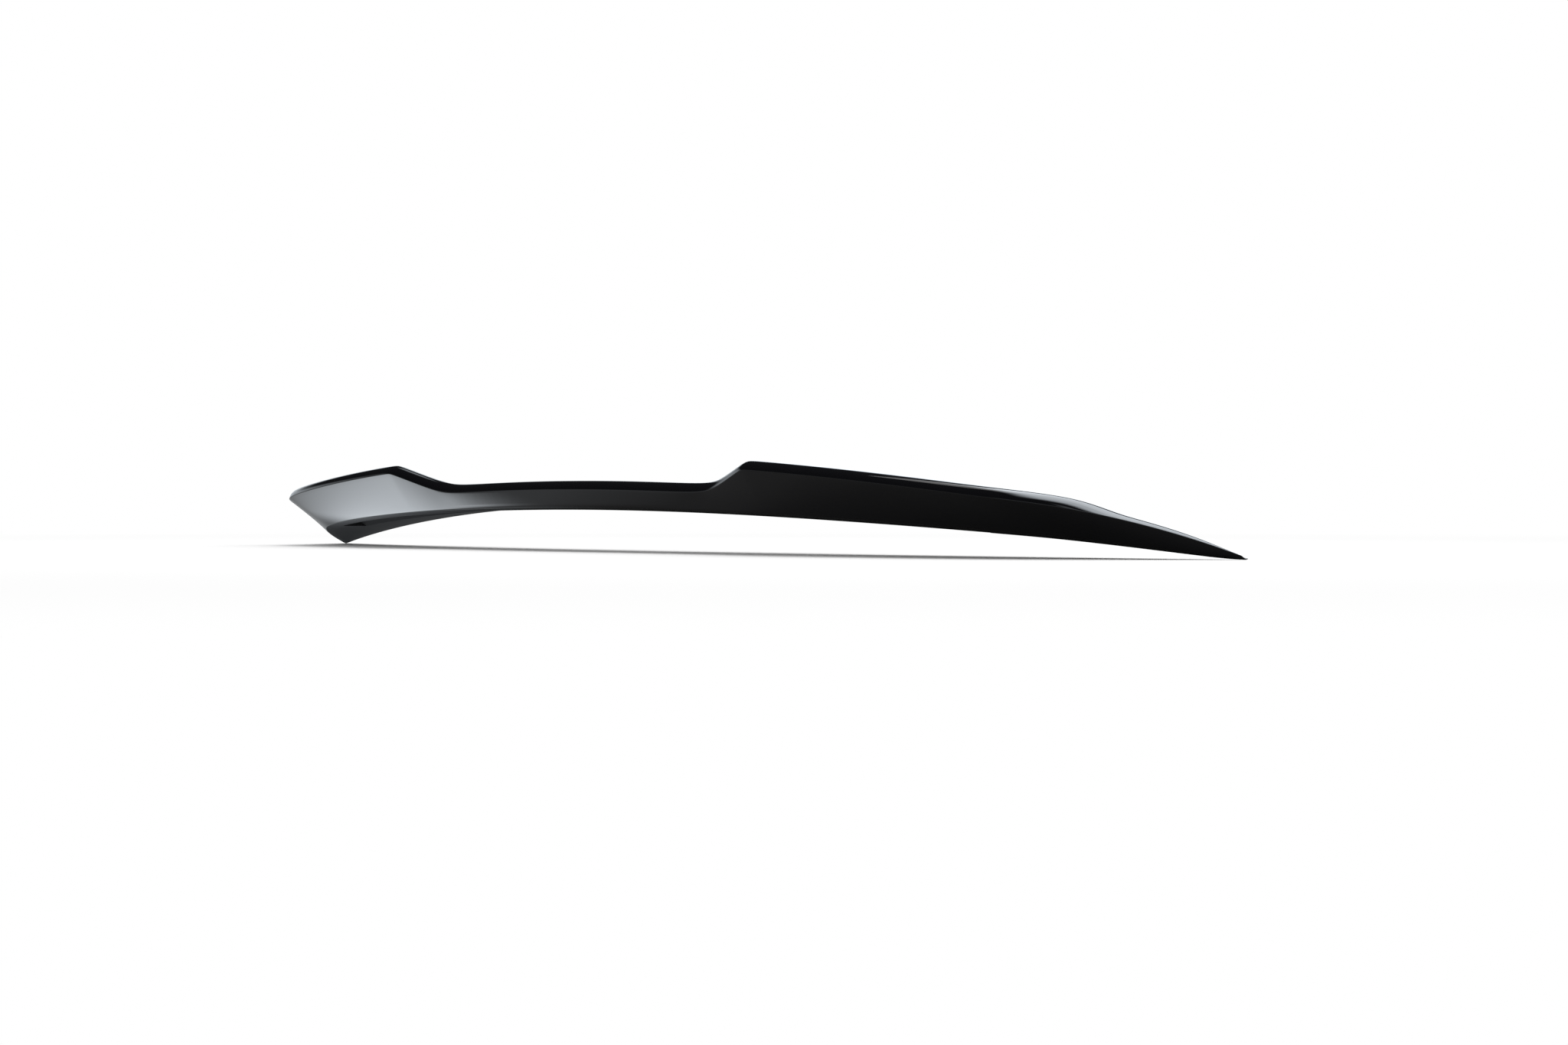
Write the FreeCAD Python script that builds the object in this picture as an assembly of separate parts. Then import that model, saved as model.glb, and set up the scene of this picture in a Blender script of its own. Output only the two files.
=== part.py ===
"""Spoiler extension: one thin-walled moulding with raised wings, a lower middle and swept, pointed ends.

Frame: +X to the right, +Y forwards, +Z up, as it is worn. The origin is the middle of the bonding land, on
the underside of the front flange at mid-span. Lengths are in millimetres and angles in degrees.
"""
import FreeCAD, Part
import os
from math import asin, atan2, cos, exp, hypot, radians, sin, tan

NODE = "spoiler_extension"

# Driving sizes: name, value, what it sets.
SIZES = (
    ("corner_spread", 936.0, "width between the outer corners of the trailing edge"),
    ("end_run", 104.0, "width of each swept end, from its corner to the tip"),
    ("notch_floor", 358.0, "width of the lower middle between the feet of its slopes"),
    ("slope_run", 56.0, "width of each slope, from its foot to the wing shoulder"),
    ("notch_depth", 19.8, "height of the wing crest above the middle crest"),
    ("notch_setback", 18.8, "how far the wing crest stands behind the middle crest"),
    ("slope_foot_round", 17.8, "softness of the bend at the foot of each slope"),
    ("shoulder_round", 4.0, "softness of the bend at each wing shoulder"),
    ("corner_round", 25.0, "softness of the outer corners in plan"),
    ("trailing_bow", 38.3, "how far the crest bows forward from the middle to the corners"),
    ("crest_crown", 27.1, "how far the crest falls from the middle to the corners"),
    ("end_sweep", 45.0, "plan angle that the trailing edge gains outboard of the corners"),
    ("end_drop", 23.0, "how far the tips fall below the crown of the crest"),
    ("face_height", 19.5, "middle crest to the foot of the rear face"),
    ("foot_crown", 17.5, "how far that foot falls from the middle to the corners"),
    ("foot_setback", 5.0, "how far that foot stands behind the middle crest"),
    ("foot_bow", 62.2, "how far that foot bows forward from the middle to the corners"),
    ("roll_radius", 8.0, "radius of the rolled crest"),
    ("roll_end_radius", 12.0, "radius of the flatter crest towards the tips"),
    ("roll_reach", 28.0, "how far the full roll of the crest runs on past the corners"),
    ("roll_fade", 22.0, "length over which it then flattens"),
    ("crease_angle", 10.0, "upward tilt of the roll where it meets the rear face"),
    ("crease_end_angle", 58.0, "the same tilt where the crest is flatter"),
    ("foot_radius", 3.5, "radius between the rear face and the lower return"),
    ("return_length", 9.0, "length of the lower return"),
    ("return_angle", 15.0, "downward slope of the lower return"),
    ("skin_depth", 75.0, "front to back from the middle crest to the front edge"),
    ("front_drop", 17.0, "middle crest to the underside of the front edge"),
    ("flange_width", 22.0, "flat width of the front flange on its upper side"),
    ("front_edge", 2.0, "thickness at the front edge"),
    ("wall", 3.0, "thickness of the moulding"),
    ("solid_end", 45.0, "length inboard of each corner where the hollow underside stops"),
    ("tip_depth", 6.0, "front to back size of the blunt tips"),
    ("tip_height", 2.2, "thickness of the blunt tips"),
)
FOOT_BOW_POWER = 2.8     # the foot stays straight in the middle and curves forward towards the corners
THIN_HEIGHT = 1.75       # height of the rear face, in walls, where the section is well on its way to thin out
THIN_POWER = 1.7         # how quickly it thins out there
FADE_SOFTNESS = 0.33     # softness of both ends of the crest's fade, as a share of its length
FOOT_END_POWER = 1.25    # how late the foot of the rear face heads for the tip
KICK_SHARE = 0.15        # share of the ramp over which it bends up from the front flange
TIP_UNDERCUT = 0.35      # share of the tip's depth that lies under its crest
ROLL_SHARE = 0.25        # largest share of the moulding's depth that the crest's radius may take
ROOF_SHARE = 0.8         # largest share of the inner rear wall that the round under the crest may take
STATION_SHARE = 0.4      # distance between sections, as a share of the distance to the nearest bend
STATION_LIMIT = 40.0     # largest distance between sections
FLAT = 0.01              # a face no longer than this along the span is a flat end


class Sizes:
    """The driving sizes, read from the spreadsheet by name, and the half widths that follow from them."""

    def __init__(self, sheet):
        for name, value, note in SIZES:
            setattr(self, name, float(sheet.get(name)))
        self.slope_foot = self.notch_floor / 2
        self.shoulder = self.slope_foot + self.slope_run
        self.corner = self.corner_spread / 2
        self.hollow_end = self.corner - self.solid_end
        self.roll_end = self.corner + self.roll_reach
        self.tip = self.corner + self.end_run


def make_sheet(doc):
    """Put the driving sizes in a spreadsheet, one row each."""
    sheet = doc.addObject("Spreadsheet::Sheet", "SizeSheet")
    for row, (name, value, note) in enumerate(SIZES, start=1):
        sheet.set(f"A{row}", name)
        sheet.set(f"B{row}", str(value))
        sheet.set(f"C{row}", note)
        sheet.setAlias(f"B{row}", name)
    doc.recompute()
    return sheet


def bend(at, corner, softness):
    """Distance past a corner, rounded off so that it starts softly from nothing."""
    return 0.5 * (at - corner + hypot(at - corner, softness))


def rise(at, low, high, low_softness, high_softness):
    """Share from 0 to 1 of a straight slope between two rounded bends."""
    return 0.5 + (hypot(at - low, low_softness) - hypot(at - high, high_softness)) / (2 * (high - low))


def along(start, direction, length):
    """Point at a length from a start, in a direction."""
    return (start[0] + direction[0] * length, start[1] + direction[1] * length)


def distance(start, end):
    """Length between two points."""
    return hypot(end[0] - start[0], end[1] - start[1])


def unit(start, end):
    """Direction from one point to another."""
    length = distance(start, end)
    return ((end[0] - start[0]) / length, (end[1] - start[1]) / length)


def outward(direction):
    """Outer side of the section where it runs in a direction, from the front round to the lower edge."""
    return (direction[1], -direction[0])


def crossing(p, u, q, v):
    """Point where the line through p along u meets the line through q along v."""
    across = u[0] * v[1] - u[1] * v[0]
    length = ((q[0] - p[0]) * v[1] - (q[1] - p[1]) * v[0]) / across
    return along(p, u, length)


def half_turn_between(before, after):
    """Half the angle between two directions."""
    cross = before[0] * after[1] - before[1] * after[0]
    dot = before[0] * after[0] + before[1] * after[1]
    return 0.5 * abs(atan2(cross, dot))


def smaller(first, second):
    """The smaller of two sizes, blended smoothly where they are alike."""
    return (first ** -4 + second ** -4) ** -0.25


def round_poles(start, before, after, end, radius):
    """Poles of the curve that follows an arc, leaving its start and reaching its end along two directions."""
    pull = radius * tan(0.5 * half_turn_between(before, after)) * 4 / 3
    return [start, along(start, before, pull), along(end, after, -pull), end]


def rounded(corner, before, after, radius):
    """Poles of the curve that rounds a corner between two directions to a radius."""
    reach = radius * tan(half_turn_between(before, after))
    return round_poles(along(corner, before, -reach), before, after, along(corner, after, reach), radius)


class Section:
    """Points of the moulding's section at a distance from mid-span, as (y, z) from about the middle crest."""

    def __init__(self, s, x):
        self.x = x
        self.run_rails(s, abs(x))
        height = self.crease[1] - self.foot[1]
        self.fullness = 1 - exp(-(height / (THIN_HEIGHT * s.wall)) ** THIN_POWER)
        self.wall = s.wall * self.fullness

        # Rear side: rolled crest, crease, leaning face and lower return.
        softness = FADE_SOFTNESS * s.roll_fade
        fade = rise(abs(x), s.roll_end, s.roll_end + s.roll_fade, softness, softness)
        radius = s.roll_radius + (s.roll_end_radius - s.roll_radius) * fade
        room = ROLL_SHARE * (self.front[0] - self.crease[0])
        self.roll = smaller(radius, room) * self.fullness
        tilt = radians(s.crease_angle + (s.crease_end_angle - s.crease_angle) * fade)
        centre = along(self.crease, (cos(tilt), -sin(tilt)), self.roll)
        self.down = unit(self.crease, self.foot)
        slope = radians(s.return_angle)
        self.under = (cos(slope), -sin(slope))
        self.foot_round = rounded(self.foot, self.down, self.under, s.foot_radius * self.fullness)
        self.lip = along(self.foot, self.under, s.return_length * self.fullness)

        # Front side: flange above the line from the front edge to the lip, then the ramp to the crest.
        self.back = unit(self.front, self.lip)
        up = outward(self.back)
        flange = s.flange_width * (self.front[0] - centre[0]) / s.skin_depth
        self.front_top = along(self.front, up, s.front_edge * self.fullness)
        self.flange_top = along(along(self.front, self.back, flange), up, self.wall)
        kick_length = KICK_SHARE * distance(self.flange_top, centre)
        self.kick = along(self.flange_top, unit(self.front_top, self.flange_top), kick_length)
        lean = atan2(centre[1] - self.kick[1], self.kick[0] - centre[0])
        climb = lean + asin(self.roll / distance(self.kick, centre))
        self.ramp = (-cos(climb), sin(climb))
        self.ramp_start = along(self.kick, self.ramp, kick_length)
        self.roll_start = along(centre, outward(self.ramp), self.roll)
        over = (-sin(tilt), -cos(tilt))
        self.crest_roll = round_poles(self.roll_start, self.ramp, over, self.crease, self.roll)
        inner_ramp = along(self.roll_start, outward(self.ramp), -self.wall)
        self.land_end = crossing(inner_ramp, self.ramp, self.front, self.back)

    def run_rails(self, s, at):
        """Crease below the crest, foot of the rear face and front edge, which meet at the tips."""
        tilt = radians(s.crease_angle)
        still = bend(0, s.corner, s.corner_round)

        def past_corner(a):
            return bend(a, s.corner, s.corner_round) - still

        def crease(a):
            wing = rise(a, s.slope_foot, s.shoulder, s.slope_foot_round, s.shoulder_round)
            bow = s.trailing_bow * (a / s.corner) ** 2 - s.notch_setback * wing
            crown = s.notch_depth * wing - s.crest_crown * (a / s.corner) ** 2
            sweep = tan(radians(s.end_sweep)) * past_corner(a)
            drop = s.end_drop * (past_corner(a) / past_corner(s.tip)) ** 2
            crest = (bow + sweep, crown - drop)
            return along(crest, (-cos(tilt), sin(tilt) - 1), s.roll_radius)

        def foot(a):
            y = s.foot_bow * (a / s.corner) ** FOOT_BOW_POWER - s.foot_setback
            z = -s.face_height - s.foot_crown * (a / s.corner) ** 2
            return (y, z)

        tip = crease(s.tip)
        tip_foot = (tip[0] + TIP_UNDERCUT * s.tip_depth, tip[1] - s.tip_height)
        end = (past_corner(at) / past_corner(s.tip)) ** FOOT_END_POWER
        share = (at / s.tip) ** 2
        last = foot(s.tip)
        here = foot(at)
        self.crease = crease(at)
        self.foot = (here[0] + (tip_foot[0] - last[0]) * end, here[1] + (tip_foot[1] - last[1]) * end)
        front_y = s.skin_depth + (tip[0] + s.tip_depth - s.skin_depth) * share
        front_z = -s.front_drop + (tip_foot[1] + s.front_drop) * share
        self.front = (front_y, front_z)

    def point(self, p):
        return FreeCAD.Vector(self.x, p[0], p[1])

    def line(self, p, q):
        return Part.LineSegment(self.point(p), self.point(q)).toShape()

    def curve(self, poles):
        bezier = Part.BezierCurve()
        bezier.setPoles([self.point(pole) for pole in poles])
        return bezier.toShape()

    def outside(self):
        """Edges of the outer side, from the front edge over the crest to the lip."""
        return [
            self.line(self.front, self.front_top),
            self.line(self.front_top, self.flange_top),
            self.curve([self.flange_top, self.kick, self.ramp_start]),
            self.line(self.ramp_start, self.roll_start),
            self.curve(self.crest_roll),
            self.line(self.crease, self.foot_round[0]),
            self.curve(self.foot_round),
            self.line(self.foot_round[-1], self.lip),
        ]

    def inside(self):
        """Edges of the inner side, one wall in, from the lip round under the crest to the bonding land."""
        face = along(self.crease, outward(self.down), -self.wall)
        floor = along(self.lip, outward(self.under), -self.wall)
        foot_corner = crossing(face, self.down, floor, self.under)
        roof_corner = crossing(face, self.down, self.land_end, self.ramp)
        half_turn = half_turn_between(self.ramp, self.down)
        room = ROOF_SHARE * distance(roof_corner, foot_corner) / tan(half_turn)
        roof_radius = smaller(bend(self.roll, self.wall, self.wall / 2), room)
        roof = rounded(roof_corner, self.ramp, self.down, roof_radius)
        return [
            self.line(self.lip, floor),
            self.line(floor, foot_corner),
            self.line(foot_corner, roof[-1]),
            self.curve(reversed(roof)),
            self.line(roof[0], self.land_end),
        ]

    def land_share(self):
        """Share of the width between the front edge and the lip that the bonding land takes."""
        return distance(self.front, self.land_end) / distance(self.front, self.lip)

    def solid_wire(self, land_share):
        """Section of the solid ends, closed from the lip to the bonding land, which keeps its share."""
        land_end = along(self.front, self.back, land_share * distance(self.front, self.lip))
        return Part.Wire(self.outside() + [self.line(self.lip, land_end), self.line(land_end, self.front)])

    def hollow_wire(self):
        """Section of the hollow length: the same outer side with a wall of one thickness."""
        return Part.Wire(self.outside() + self.inside() + [self.line(self.land_end, self.front)])

    def stop_face(self):
        """Flat face where the hollow stops against a solid end."""
        return Part.Face(Part.Wire(self.inside() + [self.line(self.land_end, self.lip)]))


def stations(s, start, end):
    """Section positions on the right side, closer together where the shape bends."""
    bends = (
        (s.slope_foot, s.slope_foot_round),
        (s.shoulder, s.shoulder_round),
        (s.hollow_end, s.corner_round),
        (s.corner, s.corner_round),
        (s.roll_end + s.roll_fade / 2, s.roll_fade / 2),
        (s.tip, 2 * s.tip_depth),
    )
    places = [start]
    while places[-1] < end:
        nearest = min(hypot(places[-1] - place, softness) for place, softness in bends)
        places.append(places[-1] + min(STATION_LIMIT, STATION_SHARE * nearest))
    scale = (end - start) / (places[-1] - start)
    return [start + (place - start) * scale for place in places]


def loft(doc, name, wires):
    """Solid loft through a row of sections."""
    sections = []
    for index, wire in enumerate(wires, start=1):
        section = doc.addObject("Part::Feature", f"{name}Section{index}")
        section.Shape = wire
        sections.append(section)
    solid = doc.addObject("Part::Loft", name)
    solid.Sections = sections
    solid.Solid = True
    solid.Ruled = False
    return solid


def side_faces(piece, stops):
    """Faces of a loft without the flat ends where it meets its neighbours."""
    faces = []
    for face in piece.Shape.Faces:
        flat = face.BoundBox.XLength < FLAT
        if not (flat and any(abs(face.CenterOfMass.x - stop) < FLAT for stop in stops)):
            faces.append(face)
    return faces


def check(doc):
    """Stop if any object failed or has no valid shape."""
    for item in doc.Objects:
        if "Invalid" in item.State or "Error" in item.State:
            raise RuntimeError(f"{item.Name} did not build: {item.State}")
        if hasattr(item, "Shape") and (item.Shape.isNull() or not item.Shape.isValid()):
            raise RuntimeError(f"{item.Name} has no valid shape")


def main():
    doc = FreeCAD.newDocument("SpoilerExtension")
    s = Sizes(make_sheet(doc))
    inner = stations(s, 0.0, s.hollow_end)
    outer = stations(s, s.hollow_end, s.tip)
    span = [-x for x in reversed(inner[1:])] + inner
    stops = (-s.hollow_end, s.hollow_end)
    land_share = Section(s, s.hollow_end).land_share()
    pieces = [
        loft(doc, "HollowLength", [Section(s, x).hollow_wire() for x in span]),
        loft(doc, "RightEnd", [Section(s, x).solid_wire(land_share) for x in outer]),
        loft(doc, "LeftEnd", [Section(s, -x).solid_wire(land_share) for x in outer]),
    ]
    doc.recompute()
    check(doc)

    # The three lengths become one moulding: their sides and the two stops of the hollow are sewn together.
    faces = [face for piece in pieces for face in side_faces(piece, stops)]
    shell = Part.Shell(faces + [Section(s, stop).stop_face() for stop in stops])
    shell.sewShape()
    moulding = doc.addObject("Part::Feature", "Moulding")
    moulding.Label = NODE
    moulding.Shape = Part.Solid(shell)
    middle = Section(s, 0.0)
    land_y = 0.5 * (middle.front[0] + middle.land_end[0])
    land_z = 0.5 * (middle.front[1] + middle.land_end[1])
    moulding.Placement = FreeCAD.Placement(FreeCAD.Vector(0, -land_y, -land_z), FreeCAD.Rotation())
    doc.recompute()
    check(doc)
    if moulding.Shape.Volume <= 0 or not moulding.Shape.Shells[0].isClosed():
        raise RuntimeError("the moulding is not a closed solid")
    os.makedirs("parts", exist_ok=True)
    moulding.Shape.exportStep(f"parts/{NODE}.step")


main()
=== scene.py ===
"""Spoiler extension: a gloss-black moulded lip with fine rounded edges, its finish and a plain studio.

Frame: +X to the right, +Y forwards, +Z up, as it is worn. The origin is the middle of the bonding land, on
the underside of the front flange at mid-span. Lengths are in metres.
"""
from math import asin, atan2, cos, exp, hypot, pi, radians, sin, tan

import bmesh
import bpy
from bpy.props import FloatProperty, FloatVectorProperty, PointerProperty
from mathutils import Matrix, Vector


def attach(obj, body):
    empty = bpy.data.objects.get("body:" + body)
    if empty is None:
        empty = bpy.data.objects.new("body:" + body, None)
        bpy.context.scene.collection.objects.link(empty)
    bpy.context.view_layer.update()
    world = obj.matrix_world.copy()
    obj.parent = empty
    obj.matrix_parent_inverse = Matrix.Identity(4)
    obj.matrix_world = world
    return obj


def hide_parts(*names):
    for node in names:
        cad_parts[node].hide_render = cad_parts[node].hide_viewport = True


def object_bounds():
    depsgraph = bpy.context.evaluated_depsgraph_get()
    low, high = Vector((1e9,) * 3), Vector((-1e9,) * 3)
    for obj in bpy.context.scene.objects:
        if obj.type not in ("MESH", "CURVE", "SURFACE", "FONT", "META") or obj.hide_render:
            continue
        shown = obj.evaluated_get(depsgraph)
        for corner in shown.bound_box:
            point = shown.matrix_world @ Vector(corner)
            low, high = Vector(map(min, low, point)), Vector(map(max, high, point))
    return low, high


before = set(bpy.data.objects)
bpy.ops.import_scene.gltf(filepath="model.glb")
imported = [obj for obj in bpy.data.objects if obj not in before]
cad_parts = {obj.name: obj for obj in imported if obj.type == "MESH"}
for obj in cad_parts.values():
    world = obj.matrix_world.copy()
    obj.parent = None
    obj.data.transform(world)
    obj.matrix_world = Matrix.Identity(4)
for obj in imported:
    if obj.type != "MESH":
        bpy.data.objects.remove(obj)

bl_info = {
    "name": "Spoiler Extension",
    "version": (1, 0, 0),
    "blender": (4, 5, 0),
    "location": "View3D > Sidebar > Spoiler",
    "description": "Builds a gloss-black spoiler lip from its sizes, with its finish and a plain studio",
    "category": "Object",
}

CAD_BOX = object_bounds()
CAD_NODE = "spoiler_extension"
PIECE_NAME = "lip_moulding"

FOOT_BOW_POWER = 2.8     # the foot stays straight in the middle and curves forward towards the corners
THIN_HEIGHT = 1.75       # height of the rear face, in walls, where the section is thinning out
THIN_POWER = 1.7         # how quickly it thins out there
FADE_SOFTNESS = 0.33     # softness of both ends of the crest's fade, as a share of its length
FOOT_END_POWER = 1.25    # how late the foot of the rear face heads for the tip
KICK_SHARE = 0.15        # share of the ramp over which it bends up from the front flange
TIP_UNDERCUT = 0.35      # share of the tip's depth that lies under its crest
ROLL_SHARE = 0.25        # largest share of the moulding's depth that the crest's radius may take
ROOF_SHARE = 0.8         # largest share of the inner rear wall that the round under the crest may take
EDGE_SHARE = 0.3         # radius of a thin edge's corners, as a share of its thickness
STATION_SHARE = 0.12     # distance between sections, as a share of the distance to the nearest bend
STATION_LIMIT = 0.008    # largest distance between sections
MERGE_DISTANCE = 1e-6    # points of neighbouring lengths that become one
SMOOTH_ANGLE = radians(40)
ROLL_STEPS = 16          # points round the rolled crest
RETURN_STEPS = 2         # points along the lower return, which has no gloss
END_LEAN = 0.5           # a face whose normal leans at least this far along the span is an end face
UNDERSIDE = 1            # number of the underside's material, after that of the gloss side
HAZE_SIZE = 6            # size of the patches of haze on the gloss side, in waves of its skin
HAZE_DEPTH = 0.04        # change of roughness over those patches
GRAIN_DEPTH = 0.1        # change of roughness over the grain of the underside
NOISE_DETAIL = 2         # octaves of both patterns
WHITE = (1, 1, 1, 1)

# Floor, and the light painted on it as a glowing panel and a spill, which shows only in reflections, in
# metres.
FLOOR_FADE = 2.5         # where the floor has faded to white, as a multiple of its reach
REAR_SLANT = 0.3         # how far the panel's rear edge moves forward over a metre to the right
REAR_SOFTNESS = 0.055    # width of that edge
FRONT_SLANT = 0.23       # how far the panel's front edge moves back over a metre to the right
FRONT_SOFTNESS = 0.02    # width of that edge
PAINTED_SPILL_START = 0.02       # where the painted spill of light on the floor starts
PAINTED_SPILL_FULL = -0.2        # where it is strongest

# Directions in the world that reflections show, as shares to the left of the camera's view and upwards.
BACKDROP_RIGHT = (-0.6, -0.2)  # soft right edge of the backdrop
FLAT_LEFT = (0.6, 0.85)  # soft left edge of the low flat
SOFTBOX_LEFT = (0, 0.3)  # soft left edge of the softbox
SOFTBOX_SOFTNESS = 0.2   # height of the softbox's soft lower edge
TOP_FADE = 0.6           # share of its height where the backdrop or the flat starts to fade
WALL_FADE = 0.2          # the same share for the low wall

LAMP_SIZE = (1.8, 0.8)
LAMP_PLACE = (0.1, 0.1, 1.5)


def length(label, millimetres, description):
    """Property for a length."""
    return FloatProperty(
        name=label, description=description, default=millimetres / 1000, unit="LENGTH", precision=5
    )


def angle(label, degrees, description):
    """Property for an angle."""
    return FloatProperty(name=label, description=description, default=radians(degrees), subtype="ANGLE")


def colour(label, value, description):
    """Property for a colour."""
    return FloatVectorProperty(
        name=label, description=description, default=value, size=3, min=0, max=1, subtype="COLOR"
    )


def number(label, value, description):
    """Property for a plain number."""
    return FloatProperty(name=label, description=description, default=value, precision=4)


class LipSizes(bpy.types.PropertyGroup):
    """Sizes of the moulding."""

    corner_spread: length("Corner spread", 936, "Width between the outer corners of the trailing edge")
    end_run: length("End run", 104, "Width of each swept end, from its corner to the tip")
    notch_floor: length("Notch floor", 358, "Width of the lower middle between the feet of its slopes")
    slope_run: length("Slope run", 56, "Width of each slope, from its foot to the wing shoulder")
    notch_depth: length("Notch depth", 19.8, "Height of the wing crest above the middle crest")
    notch_setback: length("Notch setback", 18.8, "How far the wing crest stands behind the middle crest")
    slope_foot_round: length("Slope foot round", 17.8, "Softness of the bend at the foot of each slope")
    shoulder_round: length("Shoulder round", 4, "Softness of the bend at each wing shoulder")
    corner_round: length("Corner round", 25, "Softness of the outer corners in plan")
    trailing_bow: length("Trailing bow", 38.3, "How far the crest bows forward to the corners")
    crest_crown: length("Crest crown", 27.1, "How far the crest falls from the middle to the corners")
    end_sweep: angle("End sweep", 45, "Plan angle that the trailing edge gains outboard of the corners")
    end_drop: length("End drop", 23, "How far the tips fall below the crown of the crest")
    face_height: length("Face height", 19.5, "Middle crest to the foot of the rear face")
    foot_crown: length("Foot crown", 17.5, "How far that foot falls from the middle to the corners")
    foot_setback: length("Foot setback", 5, "How far that foot stands behind the middle crest")
    foot_bow: length("Foot bow", 62.2, "How far that foot bows forward from the middle to the corners")
    roll_radius: length("Roll radius", 8, "Radius of the rolled crest")
    roll_end_radius: length("Roll end radius", 12, "Radius of the flatter crest towards the tips")
    roll_reach: length("Roll reach", 28, "How far the full roll of the crest runs on past the corners")
    roll_fade: length("Roll fade", 22, "Length over which it then flattens")
    crease_angle: angle("Crease angle", 10, "Upward tilt of the roll where it meets the rear face")
    crease_end_angle: angle("Crease end angle", 58, "The same tilt where the crest is flatter")
    crease_round: length("Crease round", 0.5, "Reach of the softening on each side of the crease")
    foot_radius: length("Foot radius", 3.5, "Radius between the rear face and the lower return")
    return_length: length("Return length", 9, "Length of the lower return")
    return_angle: angle("Return angle", 15, "Downward slope of the lower return")
    skin_depth: length("Skin depth", 75, "Front to back from the middle crest to the front edge")
    front_drop: length("Front drop", 17, "Middle crest to the underside of the front edge")
    flange_width: length("Flange width", 22, "Flat width of the front flange on its upper side")
    front_edge: length("Front edge", 2, "Thickness at the front edge")
    wall: length("Wall", 3, "Thickness of the moulding")
    solid_end: length("Solid end", 45, "Length inboard of each corner where the hollow underside stops")
    tip_depth: length("Tip depth", 6, "Front to back size of the blunt tips")
    tip_height: length("Tip height", 2.2, "Thickness of the blunt tips")


class LipFinish(bpy.types.PropertyGroup):
    """Finish of the gloss side and of the underside."""

    gloss_colour: colour("Gloss colour", (0.005, 0.005, 0.006), "Colour of the plastic on the gloss side")
    gloss_roughness: number("Gloss roughness", 0.05, "Roughness of the polished skin")
    peel_size: length("Peel size", 9, "Distance between the soft waves of the moulded skin")
    peel_height: length("Peel height", 0.012, "Height of those waves")
    underside_colour: colour("Underside colour", (0.02, 0.02, 0.021), "Colour of the plain underside")
    underside_roughness: number("Underside roughness", 0.6, "Roughness of the plain underside")
    underside_gloss: number("Underside gloss", 0.25, "Specular level of the plain underside")
    grain_size: length("Grain size", 0.7, "Size of the fine moulded grain on the underside")
    grain_height: length("Grain height", 0.03, "Height of that grain")


class LipStage(bpy.types.PropertyGroup):
    """Camera, floor and light."""

    camera_place: FloatVectorProperty(
        name="Camera place", description="Where the camera stands", default=(2.2915, -1.5890, 0.0036),
        size=3, subtype="TRANSLATION"
    )
    camera_turn: angle("Camera turn", 53, "Turn of the camera to the right of the rear view")
    camera_dip: angle("Camera dip", 0.347, "How far the camera looks down")
    camera_lens: number("Camera lens", 84.69, "Focal length in millimetres on a 36 mm wide sensor")
    floor_size: length("Floor size", 60000, "Width of the floor")
    floor_colour: colour("Floor colour", (0.97, 0.97, 0.97), "Colour of the floor in the picture")
    floor_bounce: colour("Floor bounce", (0.16, 0.16, 0.16), "Colour of the floor in reflections")
    floor_reach: length("Floor reach", 700, "How far round the lip the floor shows shadows")
    # Painted light: strength of a glowing panel painted on the floor at the left, seen only in reflections;
    # it is no lamp.
    painted_panel_strength: number("Panel strength", 3, "Strength in reflections of the light panel at the left")
    panel_near: length("Panel near edge", -60, "Where the soft near edge of that panel starts")
    panel_middle: length("Panel middle", -280, "Where that panel is strongest")
    panel_far: length("Panel far edge", -600, "Where its soft far edge ends")
    panel_front: length("Panel front edge", -124, "Where its soft slanted front edge starts, at mid-span")
    panel_rear: length("Panel rear edge", -96, "Where its soft slanted rear edge ends, at mid-span")
    # Painted light: strength of a pool of light painted on the floor to the left, seen only in reflections.
    painted_spill_strength: number("Spill strength", 0.22, "Strength in reflections of the spill on the floor")
    sky_strength: number("Sky strength", 0.9, "Strength of the even light from all round")
    wall_colour: colour("Wall colour", (0.88, 0.94, 1.0), "Colour of the studio walls in reflections")
    backdrop_strength: number("Backdrop strength", 2.2, "Strength in reflections of the backdrop")
    backdrop_edge: number("Backdrop edge", 0.1, "Softness of the backdrop's left edge")
    backdrop_top: number("Backdrop top", 0.65, "Sine of the height of the backdrop's soft upper edge")
    flat_strength: number("Flat strength", 0.9, "Strength in reflections of the low flat")
    flat_top: number("Flat top", 0.28, "Sine of the height of that flat")
    softbox_strength: number("Softbox strength", 8.5, "Strength in reflections of the softbox overhead")
    softbox_edge: number("Softbox edge", 0.7, "Sine of the height of the softbox's soft lower edge")
    wall_strength: number("Wall strength", 0.4, "Strength in reflections of the low wall all round")
    wall_top: number("Wall top", 0.14, "Sine of the height of that wall")
    ceiling_strength: number("Ceiling strength", 0.012, "Strength in reflections of the dark room")
    lamp_power: number("Lamp power", 6, "Power of the soft lamp overhead, in watts")


class SpoilerLip(bpy.types.PropertyGroup):
    """All that a user would change."""

    sizes: PointerProperty(type=LipSizes)
    finish: PointerProperty(type=LipFinish)
    stage: PointerProperty(type=LipStage)


# Plane geometry of a section, with points and directions as (y, z).


def bend(at, corner, softness):
    """Distance past a corner, rounded off so that it starts softly from nothing."""
    return 0.5 * (at - corner + hypot(at - corner, softness))


def rise(at, low, high, low_softness, high_softness):
    """Share from 0 to 1 of a straight slope between two rounded bends."""
    return 0.5 + (hypot(at - low, low_softness) - hypot(at - high, high_softness)) / (2 * (high - low))


def along(start, direction, reach):
    """Point at a distance from a start, in a direction."""
    return (start[0] + direction[0] * reach, start[1] + direction[1] * reach)


def distance(start, end):
    """Length between two points."""
    return hypot(end[0] - start[0], end[1] - start[1])


def unit(start, end):
    """Direction from one point to another."""
    reach = distance(start, end)
    return ((end[0] - start[0]) / reach, (end[1] - start[1]) / reach)


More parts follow.
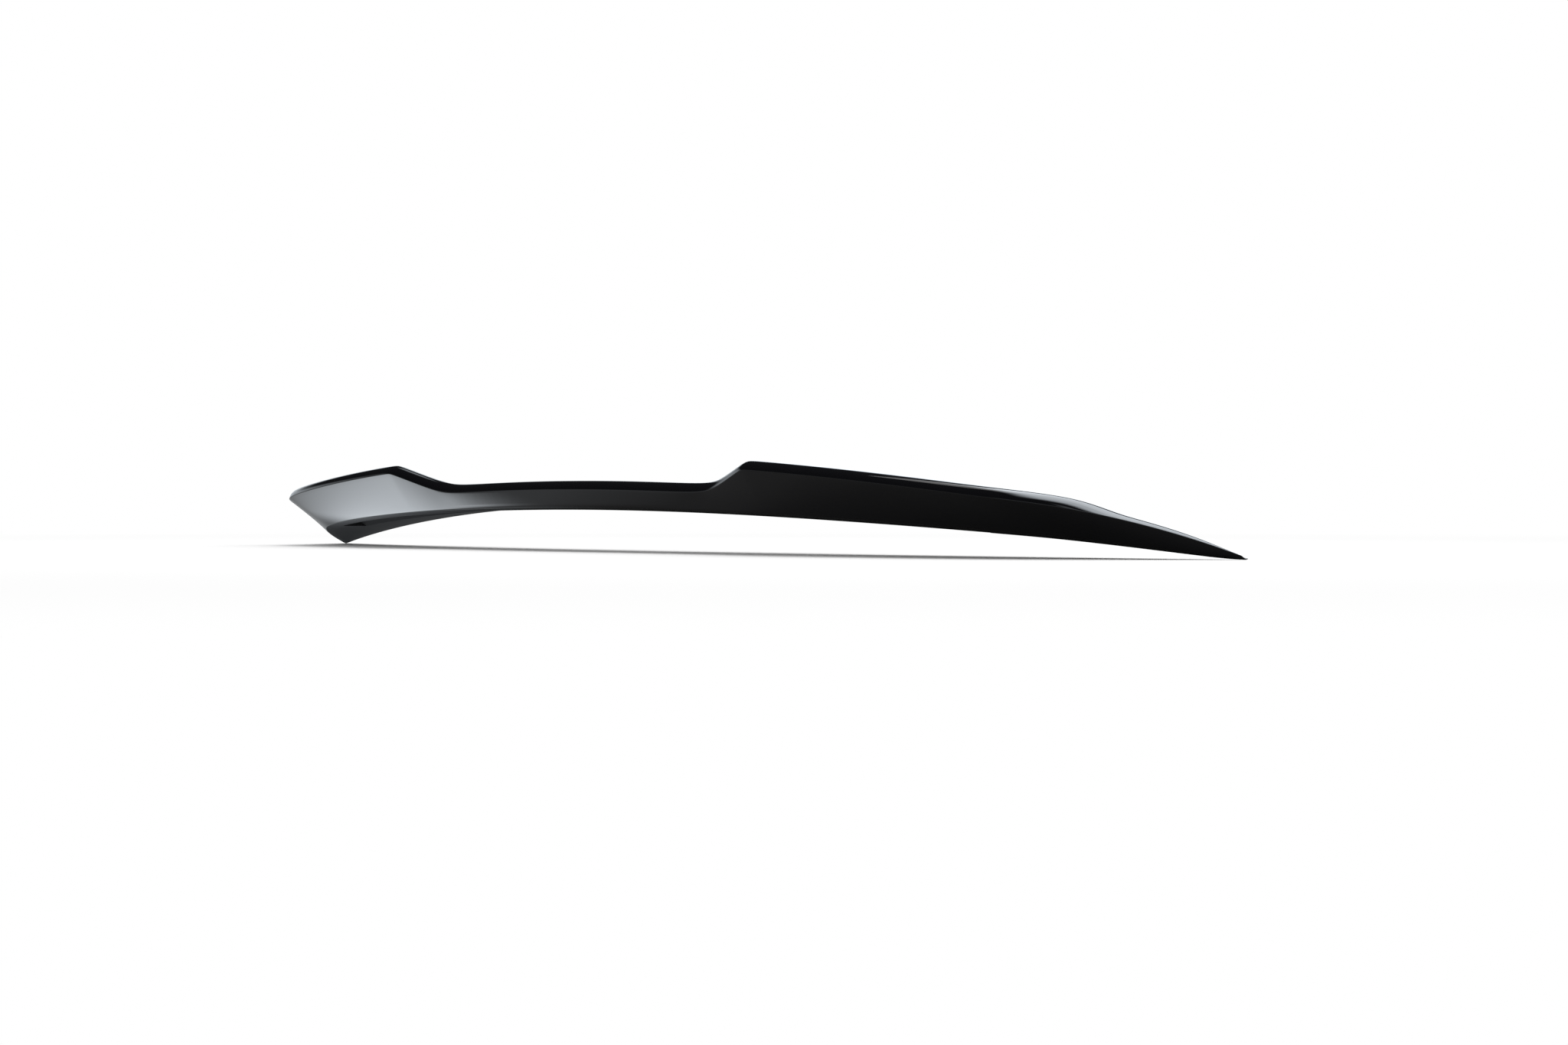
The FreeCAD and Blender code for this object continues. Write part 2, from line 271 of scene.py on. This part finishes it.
def reverse(direction):
    """The opposite direction."""
    return (-direction[0], -direction[1])


def outward(direction):
    """Outer side of the section where it runs in a direction, from the front round to the lower edge."""
    return (direction[1], -direction[0])


def crossing(p, u, q, v):
    """Point where the line through p along u meets the line through q along v."""
    across = u[0] * v[1] - u[1] * v[0]
    return along(p, u, ((q[0] - p[0]) * v[1] - (q[1] - p[1]) * v[0]) / across)


def half_turn_between(before, after):
    """Half the angle between two directions."""
    cross = before[0] * after[1] - before[1] * after[0]
    dot = before[0] * after[0] + before[1] * after[1]
    return 0.5 * abs(atan2(cross, dot))


def smaller(first, second):
    """The smaller of two sizes, blended smoothly where they are alike."""
    return (first ** -4 + second ** -4) ** -0.25


def rounded(corner, before, after, radius):
    """Poles of the curve that rounds a corner between two directions to a radius."""
    half_turn = half_turn_between(before, after)
    reach = radius * tan(half_turn)
    pull = radius * tan(half_turn / 2) * 4 / 3
    start = along(corner, before, -reach)
    end = along(corner, after, reach)
    return [start, along(start, before, pull), along(end, after, -pull), end]


class Outline:
    """Row of points along the outline of a section."""

    def __init__(self, start):
        self.points = [start]

    def run(self, end, steps):
        """Go straight to a point."""
        start = self.points[-1]
        reach = distance(start, end)
        direction = unit(start, end)
        self.points += [along(start, direction, reach * step / steps) for step in range(1, steps + 1)]

    def curve(self, poles, steps, lead=0):
        """Go along a curve, after a straight lead to its first pole in a number of steps."""
        if lead:
            self.run(poles[0], lead)
        for step in range(1, steps + 1):
            share = step / steps
            row = poles
            while len(row) > 1:
                row = [along(p, (q[0] - p[0], q[1] - p[1]), share) for p, q in zip(row, row[1:])]
            self.points.append(row[0])


class Section:
    """The moulding's section at a distance from mid-span, as (y, z) from about the middle crest."""

    def __init__(self, s, x):
        self.s = s
        self.run_rails(abs(x))
        height = self.crease[1] - self.foot[1]
        self.fullness = 1 - exp(-(height / (THIN_HEIGHT * s.wall)) ** THIN_POWER)
        self.wall = s.wall * self.fullness

        # Rear side: rolled crest, crease, leaning face and lower return.
        roll_end = s.corner_spread / 2 + s.roll_reach
        softness = FADE_SOFTNESS * s.roll_fade
        fade = rise(abs(x), roll_end, roll_end + s.roll_fade, softness, softness)
        radius = s.roll_radius + (s.roll_end_radius - s.roll_radius) * fade
        room = ROLL_SHARE * (self.front[0] - self.crease[0])
        self.roll = smaller(radius, room) * self.fullness
        self.tilt = s.crease_angle + (s.crease_end_angle - s.crease_angle) * fade
        self.centre = along(self.crease, (cos(self.tilt), -sin(self.tilt)), self.roll)
        self.down = unit(self.crease, self.foot)
        self.under = (cos(s.return_angle), -sin(s.return_angle))
        self.lip = along(self.foot, self.under, s.return_length * self.fullness)

        # Front side: flange above the line from the front edge to the lip, then the ramp to the crest.
        self.back = unit(self.front, self.lip)
        self.up = outward(self.back)
        flange = s.flange_width * (self.front[0] - self.centre[0]) / s.skin_depth
        self.front_top = along(self.front, self.up, s.front_edge * self.fullness)
        self.flange_top = along(along(self.front, self.back, flange), self.up, self.wall)
        self.flange_run = unit(self.front_top, self.flange_top)
        self.kick_length = KICK_SHARE * distance(self.flange_top, self.centre)
        self.kick = along(self.flange_top, self.flange_run, self.kick_length)
        lean = atan2(self.centre[1] - self.kick[1], self.kick[0] - self.centre[0])
        self.climb = lean + asin(self.roll / distance(self.kick, self.centre))
        self.ramp = (-cos(self.climb), sin(self.climb))
        inner_ramp = along(self.centre, outward(self.ramp), self.roll - self.wall)
        self.land_end = crossing(inner_ramp, self.ramp, self.front, self.back)

    def run_rails(self, at):
        """Crease below the crest, foot of the rear face and front edge, which meet at the tips."""
        s = self.s
        corner = s.corner_spread / 2
        slope_foot = s.notch_floor / 2
        tip_at = corner + s.end_run
        still = bend(0, corner, s.corner_round)

        def past_corner(a):
            return bend(a, corner, s.corner_round) - still

        def crease(a):
            wing = rise(a, slope_foot, slope_foot + s.slope_run, s.slope_foot_round, s.shoulder_round)
            bow = s.trailing_bow * (a / corner) ** 2 - s.notch_setback * wing
            crown = s.notch_depth * wing - s.crest_crown * (a / corner) ** 2
            drop = s.end_drop * (past_corner(a) / past_corner(tip_at)) ** 2
            crest = (bow + tan(s.end_sweep) * past_corner(a), crown - drop)
            return along(crest, (-cos(s.crease_angle), sin(s.crease_angle) - 1), s.roll_radius)

        def foot(a):
            y = s.foot_bow * (a / corner) ** FOOT_BOW_POWER - s.foot_setback
            return (y, -s.face_height - s.foot_crown * (a / corner) ** 2)

        tip = crease(tip_at)
        tip_foot = (tip[0] + TIP_UNDERCUT * s.tip_depth, tip[1] - s.tip_height)
        last = foot(tip_at)
        end = (past_corner(at) / past_corner(tip_at)) ** FOOT_END_POWER
        share = (at / tip_at) ** 2
        self.crease = crease(at)
        self.foot = along(foot(at), (tip_foot[0] - last[0], tip_foot[1] - last[1]), end)
        front_y = s.skin_depth + (tip[0] + s.tip_depth - s.skin_depth) * share
        front_z = -s.front_drop + (tip_foot[1] + s.front_drop) * share
        self.front = (front_y, front_z)

    def on_roll(self, turn):
        """Point of the rolled crest at an angle, from forwards over the top to the rear."""
        return along(self.centre, (cos(turn), sin(turn)), self.roll)

    def outside(self):
        """Outer side, from under the front edge over the crest to just before the lip."""
        s = self.s
        edge = EDGE_SHARE * s.front_edge * self.fullness
        nose = rounded(self.front, reverse(self.back), self.up, edge)
        brow = rounded(self.front_top, self.up, self.flange_run, edge)
        kick = [self.flange_top, self.kick, along(self.kick, self.ramp, self.kick_length)]
        foot_round = rounded(self.foot, self.down, self.under, s.foot_radius * self.fullness)

        # The roll stops short of the crease, which is softened between it and the rear face.
        soft = s.crease_round * self.fullness
        first = pi / 2 - self.climb
        last = pi - self.tilt - soft / self.roll
        roll = [self.on_roll(first + (last - first) * step / ROLL_STEPS) for step in range(ROLL_STEPS + 1)]
        turn = crossing(roll[-1], (-sin(last), cos(last)), self.crease, self.down)
        crease = [roll[-1], turn, along(self.crease, self.down, soft)]

        outline = Outline(nose[0])
        outline.curve(nose, 3)
        outline.curve(brow, 3, lead=1)
        outline.curve(kick, 6, lead=4)
        outline.run(roll[0], 10)
        outline.points += roll[1:]
        outline.curve(crease, 4)
        outline.curve(foot_round, 6, lead=10)
        outline.run(along(self.lip, self.under, -EDGE_SHARE * self.wall), RETURN_STEPS)
        return outline

    def hollow_ring(self):
        """Closed outline with a wall of one thickness over the open underside."""
        edge = EDGE_SHARE * self.wall
        inward = reverse(outward(self.under))
        floor = along(self.lip, inward, self.wall)
        face = along(self.crease, outward(self.down), -self.wall)
        foot_corner = crossing(face, self.down, floor, self.under)
        roof_corner = crossing(face, self.down, self.land_end, self.ramp)
        half_turn = half_turn_between(self.ramp, self.down)
        room = ROOF_SHARE * distance(roof_corner, foot_corner) / tan(half_turn)
        roof_radius = smaller(bend(self.roll, self.wall, self.wall / 2), room)

        outline = self.outside()
        outline.curve(rounded(self.lip, self.under, inward, edge), 3)
        outline.curve(rounded(floor, inward, reverse(self.under), edge), 3, lead=1)
        outline.curve(rounded(foot_corner, reverse(self.under), reverse(self.down), edge), 4, lead=4)
        outline.curve(rounded(roof_corner, reverse(self.down), reverse(self.ramp), roof_radius), 8, lead=6)
        outline.curve(rounded(self.land_end, reverse(self.ramp), reverse(self.back), edge), 3, lead=10)
        outline.run(outline.points[0], 6)
        return outline.points

    def land_share(self):
        """Share of the width between the front edge and the lip that the bonding land takes."""
        return distance(self.front, self.land_end) / distance(self.front, self.lip)

    def solid_ring(self, land_share):
        """Closed outline of the solid ends, from the lip straight to the bonding land."""
        land_end = along(self.front, self.back, land_share * distance(self.front, self.lip))
        outline = self.outside()
        outline.curve(rounded(self.lip, self.under, reverse(self.back), EDGE_SHARE * self.wall), 3, lead=1)
        outline.run(land_end, 10)
        outline.run(outline.points[0], 6)
        return outline.points


def stations(s, start, end):
    """Section positions on the right side, closer together where the shape bends."""
    slope_foot = s.notch_floor / 2
    corner = s.corner_spread / 2
    bends = (
        (slope_foot, s.slope_foot_round),
        (slope_foot + s.slope_run, s.shoulder_round),
        (corner, s.corner_round),
        (corner + s.roll_reach + s.roll_fade / 2, s.roll_fade / 2),
        (corner + s.end_run, 2 * s.tip_depth),
    )
    places = [start]
    while places[-1] < end:
        nearest = min(hypot(places[-1] - place, softness) for place, softness in bends)
        places.append(places[-1] + min(STATION_LIMIT, STATION_SHARE * nearest))
    scale = (end - start) / (places[-1] - start)
    return [start + (place - start) * scale for place in places]


# Meshes.


def select_only(*pieces):
    """Leave nothing selected but these pieces, the first of them active."""
    bpy.ops.object.select_all(action="DESELECT")
    for piece in pieces:
        piece.select_set(True)
    bpy.context.view_layer.objects.active = pieces[0]


def skin_length(places, rings, shift, gloss_columns, materials):
    """One length of skin: a grid whose rows are laid along the outlines of its sections."""
    columns = len(rings[0]) - 1
    bpy.ops.object.select_all(action="DESELECT")
    bpy.ops.mesh.primitive_grid_add(x_subdivisions=columns, y_subdivisions=len(rings) - 1, size=1)
    skin = bpy.context.object
    points = [(x, y - shift[0], z - shift[1]) for x, ring in zip(places, rings) for y, z in ring]
    skin.data.vertices.foreach_set("co", [value for point in points for value in point])
    for material in materials:
        skin.data.materials.append(material)
    sides = [int(face % columns >= gloss_columns) for face in range(len(skin.data.polygons))]
    skin.data.polygons.foreach_set("material_index", sides)
    return skin


def close_skin(skin, stop):
    """Merge the lengths of skin, close the tips and the hollow's stops, and turn every face outwards."""
    select_only(skin)
    bpy.ops.object.mode_set(mode="EDIT")
    bpy.ops.mesh.select_all(action="SELECT")
    bpy.ops.mesh.remove_doubles(threshold=MERGE_DISTANCE)
    bpy.ops.mesh.fill_holes(sides=0)
    bpy.ops.mesh.select_all(action="SELECT")
    bpy.ops.mesh.normals_make_consistent(inside=False)
    bpy.ops.object.mode_set(mode="OBJECT")
    for face in skin.data.polygons:
        if abs(face.normal.x) > END_LEAN and abs(abs(face.center.x) - stop) < MERGE_DISTANCE:
            face.material_index = UNDERSIDE
    shape = bmesh.new()
    shape.from_mesh(skin.data)
    closed = all(edge.is_manifold for edge in shape.edges)
    volume = shape.calc_volume(signed=True)
    shape.free()
    if not closed or volume <= 0:
        raise RuntimeError("the moulding is not a closed solid")


def make_moulding(s, materials):
    """The lip as one closed skin: a hollow length between two solid ends."""
    corner = s.corner_spread / 2
    stop = corner - s.solid_end
    tip = corner + s.end_run
    inner = stations(s, 0.0, stop)
    outer = stations(s, stop, tip)
    span = [-x for x in reversed(inner[1:])] + inner
    middle = Section(s, 0.0)
    shift = along(middle.front, middle.back, distance(middle.front, middle.land_end) / 2)
    gloss_columns = len(middle.outside().points) - 1 - RETURN_STEPS
    share = Section(s, stop).land_share()
    rings = [Section(s, x).hollow_ring() for x in span]
    lengths = [skin_length(span, rings, shift, gloss_columns, materials)]
    for side in (1, -1):
        places = [side * x for x in outer]
        rings = [Section(s, x).solid_ring(share) for x in places]
        lengths.append(skin_length(places, rings, shift, gloss_columns, materials))
    select_only(*lengths)
    bpy.ops.object.join()
    lip = bpy.context.object
    lip.name = PIECE_NAME
    lip.data.name = PIECE_NAME
    close_skin(lip, stop)
    select_only(lip)
    bpy.ops.object.shade_smooth_by_angle(angle=SMOOTH_ANGLE)
    return lip


# Shaders.


class Value:
    """A shader socket that can be used in sums."""

    def __init__(self, shader, socket):
        self.shader = shader
        self.socket = socket

    def sum(self, operation, first, second):
        return self.shader.node("ShaderNodeMath", {"operation": operation}, {0: first, 1: second}).value()

    def __add__(self, other):
        return self.sum("ADD", self, other)

    def __sub__(self, other):
        return self.sum("SUBTRACT", self, other)

    def __rsub__(self, other):
        return self.sum("SUBTRACT", other, self)

    def __mul__(self, other):
        return self.sum("MULTIPLY", self, other)

    def largest(self, other):
        return self.sum("MAXIMUM", self, other)

    __radd__ = __add__
    __rmul__ = __mul__


class Node:
    """A shader node whose outputs are asked for by name or number."""

    def __init__(self, shader, node):
        self.shader = shader
        self.node = node

    def value(self, name=0):
        return Value(self.shader, self.node.outputs[name])


class Shader:
    """The node tree of one material or of the world."""

    def __init__(self, owner):
        owner.use_nodes = True
        self.tree = owner.node_tree
        self.tree.nodes.clear()

    def node(self, kind, settings=None, inputs=None):
        """Add a node, set it up, then set or link its sockets."""
        node = self.tree.nodes.new(kind)
        for name, value in (settings or {}).items():
            setattr(node, name, value)
        for name, value in (inputs or {}).items():
            if isinstance(value, Value):
                self.tree.links.new(value.socket, node.inputs[name])
            else:
                node.inputs[name].default_value = value
        return Node(self, node)

    def noise(self, where, size):
        """Cloudy value about 0.5, with patches of a size."""
        inputs = {"Vector": where, "Scale": 1 / size, "Detail": NOISE_DETAIL}
        return self.node("ShaderNodeTexNoise", None, inputs).value("Fac")

    def fade(self, value, start, end):
        """Share that goes smoothly from 0 at the start to 1 at the end."""
        inputs = {"Value": value, "From Min": start, "From Max": end}
        return self.node("ShaderNodeMapRange", {"interpolation_type": "SMOOTHSTEP"}, inputs).value()

    def bump(self, height, reach):
        """Normal of a surface with a height in metres from 0 to a reach."""
        inputs = {"Height": height, "Distance": reach, "Strength": 1.0}
        return self.node("ShaderNodeBump", None, inputs).value("Normal")


def opaque(value):
    """A colour with full alpha."""
    return (*value, 1.0)


def gloss_black(finish):
    """Polished black plastic with the faint waves of a moulded skin."""
    material = bpy.data.materials.new("gloss_black_skin")
    shader = Shader(material)
    where = shader.node("ShaderNodeTexCoord").value("Object")
    peel = shader.noise(where, finish.peel_size)
    haze = shader.noise(where, HAZE_SIZE * finish.peel_size)
    principled = shader.node("ShaderNodeBsdfPrincipled", None, {
        "Base Color": opaque(finish.gloss_colour),
        "Roughness": finish.gloss_roughness + HAZE_DEPTH * (haze - 0.5),
        "Normal": shader.bump(peel, finish.peel_height),
    })
    shader.node("ShaderNodeOutputMaterial", None, {"Surface": principled.value("BSDF")})
    return material


def plain_underside(finish):
    """Black plastic as it leaves the mould, with a fine even grain."""
    material = bpy.data.materials.new("grained_underside")
    shader = Shader(material)
    where = shader.node("ShaderNodeTexCoord").value("Object")
    grain = shader.noise(where, finish.grain_size)
    principled = shader.node("ShaderNodeBsdfPrincipled", None, {
        "Base Color": opaque(finish.underside_colour),
        "Roughness": finish.underside_roughness + GRAIN_DEPTH * (grain - 0.5),
        "Specular IOR Level": finish.underside_gloss,
        "Normal": shader.bump(grain, finish.grain_height),
    })
    shader.node("ShaderNodeOutputMaterial", None, {"Surface": principled.value("BSDF")})
    return material


# Stage.


def make_floor(stage, height):
    """Pale floor under the lip, with light painted on it, a glowing panel and a spill, which shows only in
    reflections.
    """
    bpy.ops.object.select_all(action="DESELECT")
    bpy.ops.mesh.primitive_plane_add(size=stage.floor_size, location=(0, 0, height))
    floor = bpy.context.object
    floor.name = "studio_floor"
    material = bpy.data.materials.new("pale_floor")
    shader = Shader(material)
    rays = shader.node("ShaderNodeLightPath")
    where = shader.node("ShaderNodeTexCoord").value("Object")
    place = shader.node("ShaderNodeSeparateXYZ", None, {0: where})
    across = place.value("X")
    away = shader.node("ShaderNodeVectorMath", {"operation": "LENGTH"}, {0: where}).value("Value")
    far = shader.fade(away, stage.floor_reach, FLOOR_FADE * stage.floor_reach)
    near = shader.fade(across, stage.panel_near, stage.panel_middle)
    fall = shader.fade(across, stage.panel_middle, stage.panel_far)
    ahead = place.value("Y")
    rear = shader.fade(ahead - REAR_SLANT * across, stage.panel_rear, stage.panel_rear + REAR_SOFTNESS)
    front = shader.fade(ahead + FRONT_SLANT * across, stage.panel_front, stage.panel_front + FRONT_SOFTNESS)
    # Painted light: a glowing panel on the floor at the left, seen only in reflections; it is no lamp.
    panel = near * near * (1 - fall) * rear * (1 - front)
    # Painted light: a pool of light painted on the floor to the left of mid-span, seen only in reflections.
    spill = stage.painted_spill_strength * shader.fade(across, PAINTED_SPILL_START, PAINTED_SPILL_FULL) * (1 - far)
    painted_shine = (stage.painted_panel_strength * panel + spill) * rays.value("Is Glossy Ray")
    grey = shader.node("ShaderNodeBsdfDiffuse", None, {"Color": opaque(stage.floor_bounce)}).value()
    inputs = {"Color": opaque(stage.wall_colour), "Strength": painted_shine}
    painted_glow = shader.node("ShaderNodeEmission", None, inputs).value()
    mirrored = shader.node("ShaderNodeAddShader", None, {0: grey, 1: painted_glow}).value()
    pale = shader.node("ShaderNodeBsdfDiffuse", None, {"Color": opaque(stage.floor_colour)}).value()
    white = shader.node("ShaderNodeEmission", None, {"Color": WHITE, "Strength": 1.0}).value()
    picture = shader.node("ShaderNodeMixShader", None, {0: far, 1: pale, 2: white}).value()
    inputs = {0: rays.value("Is Camera Ray"), 1: mirrored, 2: picture}
    surface = shader.node("ShaderNodeMixShader", None, inputs).value()
    shader.node("ShaderNodeOutputMaterial", None, {"Surface": surface})
    floor.data.materials.append(material)


def make_world(stage):
    """White behind the lip and even light on it; in reflections a backdrop, a flat, a softbox and walls."""
    world = bpy.data.worlds.new("studio")
    bpy.context.scene.world = world
    shader = Shader(world)
    rays = shader.node("ShaderNodeLightPath")
    direction = shader.node("ShaderNodeTexCoord").value("Generated")
    parts = shader.node("ShaderNodeSeparateXYZ", None, {0: direction})
    height = parts.value("Z")
    left = -1 * (parts.value("X") * cos(stage.camera_turn) + parts.value("Y") * sin(stage.camera_turn))
    backdrop = shader.fade(left, *BACKDROP_RIGHT) - shader.fade(left, 0, stage.backdrop_edge)
    over = shader.fade(height, TOP_FADE * stage.backdrop_top, stage.backdrop_top)
    backdrop = stage.backdrop_strength * backdrop * (1 - over)
    flat = 1 - shader.fade(height, TOP_FADE * stage.flat_top, stage.flat_top)
    flat = stage.flat_strength * flat * (1 - shader.fade(left, *FLAT_LEFT))
    softbox = shader.fade(height, stage.softbox_edge, stage.softbox_edge + SOFTBOX_SOFTNESS)
    softbox = stage.softbox_strength * softbox * (1 - shader.fade(left, *SOFTBOX_LEFT))
    wall = stage.wall_strength * (1 - shader.fade(height, WALL_FADE * stage.wall_top, stage.wall_top))
    room = stage.ceiling_strength + backdrop.largest(softbox).largest(flat).largest(wall)
    inputs = {"Color": WHITE, "Strength": stage.sky_strength}
    even = shader.node("ShaderNodeBackground", None, inputs).value()
    inputs = {"Color": opaque(stage.wall_colour), "Strength": room}
    mirrored = shader.node("ShaderNodeBackground", None, inputs).value()
    white = shader.node("ShaderNodeBackground", None, {"Color": WHITE, "Strength": 1.0}).value()
    inputs = {0: rays.value("Is Glossy Ray"), 1: even, 2: mirrored}
    light = shader.node("ShaderNodeMixShader", None, inputs).value()
    inputs = {0: rays.value("Is Camera Ray"), 1: light, 2: white}
    view = shader.node("ShaderNodeMixShader", None, inputs).value()
    shader.node("ShaderNodeOutputWorld", None, {"Surface": view})


def make_lamp(stage):
    """A broad soft lamp overhead, left out of the picture."""
    lamp = bpy.data.lights.new("studio_lamp", "AREA")
    lamp.shape = "RECTANGLE"
    lamp.size, lamp.size_y = LAMP_SIZE
    lamp.energy = stage.lamp_power
    item = bpy.data.objects.new("studio_lamp", lamp)
    item.location = LAMP_PLACE
    item.visible_camera = False
    bpy.context.scene.collection.objects.link(item)


def make_camera(stage):
    """Camera at the photograph's place."""
    camera = bpy.data.cameras.new("studio_camera")
    camera.lens = stage.camera_lens
    camera.sensor_width = 36.0
    camera.clip_end = 200.0
    item = bpy.data.objects.new("studio_camera", camera)
    item.location = stage.camera_place
    item.rotation_euler = (pi / 2 - stage.camera_dip, 0, stage.camera_turn)
    bpy.context.scene.collection.objects.link(item)
    bpy.context.scene.camera = item


# Operators and panel.


class SPOILER_OT_moulding(bpy.types.Operator):
    """Build the lip's moulding with its gloss side and its underside"""

    bl_idname = "spoiler.moulding"
    bl_label = "Lip moulding"

    def execute(self, context):
        settings = context.scene.spoiler_lip
        materials = (gloss_black(settings.finish), plain_underside(settings.finish))
        lip = make_moulding(settings.sizes, materials)
        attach(lip, "root")
        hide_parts(CAD_NODE)
        return {"FINISHED"}


class SPOILER_OT_stage(bpy.types.Operator):
    """Add the floor, the light and the camera"""

    bl_idname = "spoiler.stage"
    bl_label = "Studio"

    def execute(self, context):
        stage = context.scene.spoiler_lip.stage
        make_floor(stage, CAD_BOX[0][2])
        make_world(stage)
        make_lamp(stage)
        make_camera(stage)
        context.scene.view_settings.view_transform = "Standard"
        return {"FINISHED"}


class SPOILER_PT_panel(bpy.types.Panel):
    """Sidebar panel that lists the operators and the sizes"""

    bl_label = "Spoiler extension"
    bl_space_type = "VIEW_3D"
    bl_region_type = "UI"
    bl_category = "Spoiler"

    def draw(self, context):
        settings = context.scene.spoiler_lip
        for operator in (SPOILER_OT_moulding, SPOILER_OT_stage):
            self.layout.operator(operator.bl_idname)
        for group in (settings.sizes, settings.finish, settings.stage):
            column = self.layout.column(align=True)
            for name in group.__annotations__:
                column.prop(group, name)


CLASSES = (
    LipSizes, LipFinish, LipStage, SpoilerLip, SPOILER_OT_moulding, SPOILER_OT_stage, SPOILER_PT_panel,
)


def register():
    for item in CLASSES:
        bpy.utils.register_class(item)
    bpy.types.Scene.spoiler_lip = PointerProperty(type=SpoilerLip)


def unregister():
    del bpy.types.Scene.spoiler_lip
    for item in reversed(CLASSES):
        bpy.utils.unregister_class(item)


def main():
    register()
    bpy.ops.spoiler.moulding()
    bpy.ops.spoiler.stage()


if __name__ == "__main__":
    main()
